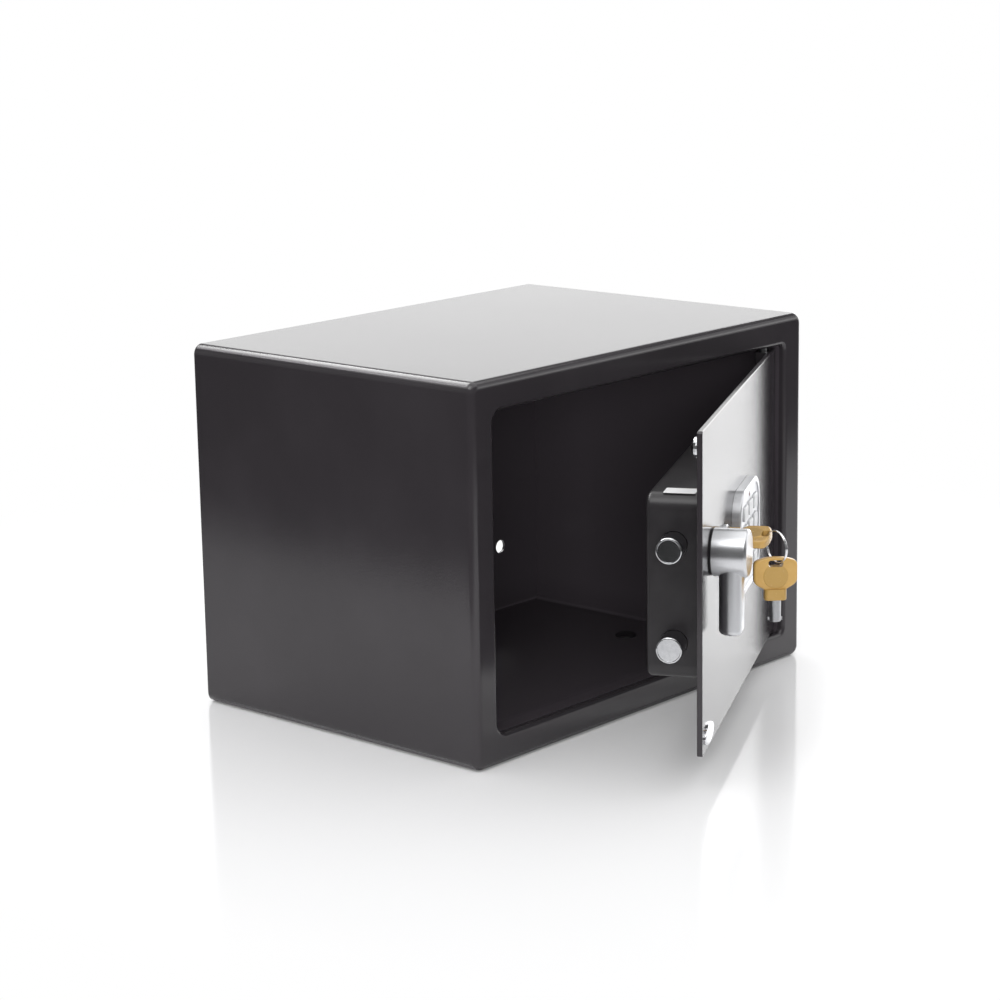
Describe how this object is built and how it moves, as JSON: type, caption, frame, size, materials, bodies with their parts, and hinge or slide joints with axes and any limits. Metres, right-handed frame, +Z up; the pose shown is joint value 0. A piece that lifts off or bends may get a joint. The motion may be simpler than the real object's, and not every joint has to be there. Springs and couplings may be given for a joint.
{
  "type": "home safe",
  "caption": "Small steel home safe with a swinging door, keypad, turning lever handle, sliding round bolts, key override with keys on a split ring, and a battery compartment behind the door.",
  "frame": {"origin": "on the floor plane under the middle of the cabinet, at the base mount", "axes": "+Z up, -Y out of the front, +X to the hinge side"},
  "size_m": [0.35, 0.3914, 0.25],
  "materials": {
    "black_paint": "satin black powder coat",
    "satin_silver": "satin plated casting",
    "bright_silver": "polished plating",
    "plain_steel": "zinc plated",
    "black_plastic": "fine grained black",
    "button_plastic": "light grey moulding",
    "key_plastic": "yellow moulding",
    "circuit_board": "green lacquer",
    "copper_coil": "wrapped winding",
    "brass_parts": "turned brass",
    "battery_wrap": "plain printed film",
    "red_lens": "clear tinted"
  },
  "bodies": {
    "cabinet": {"body_shell": "black_paint", "front_frame": "black_paint", "back_panel": "black_paint"},
    "door": {"door_plate": "black_paint", "hinge_lug_top": "black_paint", "hinge_lug_bottom": "black_paint", "hinge_pin_top": "plain_steel", "hinge_pin_bottom": "plain_steel", "door_stud": "bright_silver", "lock_case": "black_plastic", "bolt_guide": "plain_steel", "guide_post_upper": "plain_steel", "guide_post_lower": "plain_steel", "solenoid_bracket": "plain_steel", "solenoid_coil": "copper_coil", "control_board": "circuit_board", "battery_tray": "black_plastic", "battery_1": "battery_wrap", "battery_2": "battery_wrap", "battery_3": "battery_wrap", "battery_4": "battery_wrap", "lock_barrel": "bright_silver", "lock_nut": "brass_parts", "keypad_bezel": "satin_silver", "keypad_board": "circuit_board", "indicator_lens": "red_lens", "handle_spacer": "black_plastic"},
    "handle": {"handle": "satin_silver", "handle_spindle": "plain_steel", "handle_crank": "plain_steel"},
    "boltwork": {"bolt_carriage": "plain_steel", "bolt_upper": "plain_steel", "bolt_lower": "plain_steel"},
    "plunger": {"solenoid_plunger": "plain_steel"},
    "battery_cover": {"battery_lid": "black_plastic"},
    "core": {"lock_core": "brass_parts", "lock_cam": "plain_steel"},
    "override_key": {"key_head": "key_plastic", "key_shaft": "bright_silver"},
    "split_ring": {"key_ring": "bright_silver"},
    "spare_key": {"spare_head": "key_plastic", "spare_shaft": "bright_silver"},
    "key_1": {"button_1": "button_plastic"},
    "key_2": {"button_2": "button_plastic"},
    "key_3": {"button_3": "button_plastic"},
    "key_4": {"button_4": "button_plastic"},
    "key_5": {"button_5": "button_plastic"},
    "key_6": {"button_6": "button_plastic"},
    "key_7": {"button_7": "button_plastic"},
    "key_8": {"button_8": "button_plastic"},
    "key_9": {"button_9": "button_plastic"},
    "key_left": {"button_left": "button_plastic"},
    "key_0": {"button_0": "button_plastic"},
    "key_right": {"button_right": "button_plastic"}
  },
  "joints": [
    {"name": "door_hinge", "type": "hinge", "parent": "cabinet", "child": "door", "pos_m": [0.141, -0.1155, 0.1245], "axis": [0, 0, 1], "range_deg": [-27.4, 82.6]},
    {"name": "handle_turn", "type": "hinge", "parent": "door", "child": "handle", "pos_m": [-0.07685, -0.25042, 0.1438], "axis": [-0.4603, 0.8878, 0], "range_deg": [0, 90]},
    {"name": "bolt_slide", "type": "slide", "parent": "door", "child": "boltwork", "axis": [-0.8878, -0.4603, 0], "range_m": [0, 0.015]},
    {"name": "plunger_drop", "type": "slide", "parent": "door", "child": "plunger", "axis": [0, 0, -1], "range_m": [0, 0.006], "stiffness_N_per_m": 400},
    {"name": "battery_lid_hinge", "type": "hinge", "parent": "door", "child": "battery_cover", "pos_m": [0.01665, -0.14506, 0.0919], "axis": [-0.8878, -0.4603, 0], "range_deg": [0, 100]},
    {"name": "core_turn", "type": "hinge", "parent": "door", "child": "core", "pos_m": [-0.04464, -0.2202, 0.1438], "axis": [0.4603, -0.8878, 0], "range_deg": [0, 90]},
    {"name": "key_pull", "type": "slide", "parent": "core", "child": "override_key", "axis": [0.4603, -0.8878, 0], "range_m": [0, 0.02]},
    {"name": "ring_swing", "type": "hinge", "parent": "override_key", "child": "split_ring", "pos_m": [-0.03566, -0.25453, 0.14005], "axis": [0.956, -0.2898, 0.045], "range_deg": [-20, 20]},
    {"name": "spare_swing", "type": "hinge", "parent": "split_ring", "child": "spare_key", "pos_m": [-0.03522, -0.25467, 0.12985], "axis": [0.2901, 0.957, 0], "range_deg": [-15, 15]},
    {"name": "press_1", "type": "slide", "parent": "door", "child": "key_1", "axis": [-0.4603, 0.8878, 0], "range_m": [0, 0.0008], "stiffness_N_per_m": 300},
    {"name": "press_2", "type": "slide", "parent": "door", "child": "key_2", "axis": [-0.4603, 0.8878, 0], "range_m": [0, 0.0008], "stiffness_N_per_m": 300},
    {"name": "press_3", "type": "slide", "parent": "door", "child": "key_3", "axis": [-0.4603, 0.8878, 0], "range_m": [0, 0.0008], "stiffness_N_per_m": 300},
    {"name": "press_4", "type": "slide", "parent": "door", "child": "key_4", "axis": [-0.4603, 0.8878, 0], "range_m": [0, 0.0008], "stiffness_N_per_m": 300},
    {"name": "press_5", "type": "slide", "parent": "door", "child": "key_5", "axis": [-0.4603, 0.8878, 0], "range_m": [0, 0.0008], "stiffness_N_per_m": 300},
    {"name": "press_6", "type": "slide", "parent": "door", "child": "key_6", "axis": [-0.4603, 0.8878, 0], "range_m": [0, 0.0008], "stiffness_N_per_m": 300},
    {"name": "press_7", "type": "slide", "parent": "door", "child": "key_7", "axis": [-0.4603, 0.8878, 0], "range_m": [0, 0.0008], "stiffness_N_per_m": 300},
    {"name": "press_8", "type": "slide", "parent": "door", "child": "key_8", "axis": [-0.4603, 0.8878, 0], "range_m": [0, 0.0008], "stiffness_N_per_m": 300},
    {"name": "press_9", "type": "slide", "parent": "door", "child": "key_9", "axis": [-0.4603, 0.8878, 0], "range_m": [0, 0.0008], "stiffness_N_per_m": 300},
    {"name": "press_left", "type": "slide", "parent": "door", "child": "key_left", "axis": [-0.4603, 0.8878, 0], "range_m": [0, 0.0008], "stiffness_N_per_m": 300},
    {"name": "press_0", "type": "slide", "parent": "door", "child": "key_0", "axis": [-0.4603, 0.8878, 0], "range_m": [0, 0.0008], "stiffness_N_per_m": 300},
    {"name": "press_right", "type": "slide", "parent": "door", "child": "key_right", "axis": [-0.4603, 0.8878, 0], "range_m": [0, 0.0008], "stiffness_N_per_m": 300}
  ],
  "couplings": [
    {"joint": "bolt_slide", "follows": "handle_turn", "m_per_rad": 0.0095493}
  ]
}
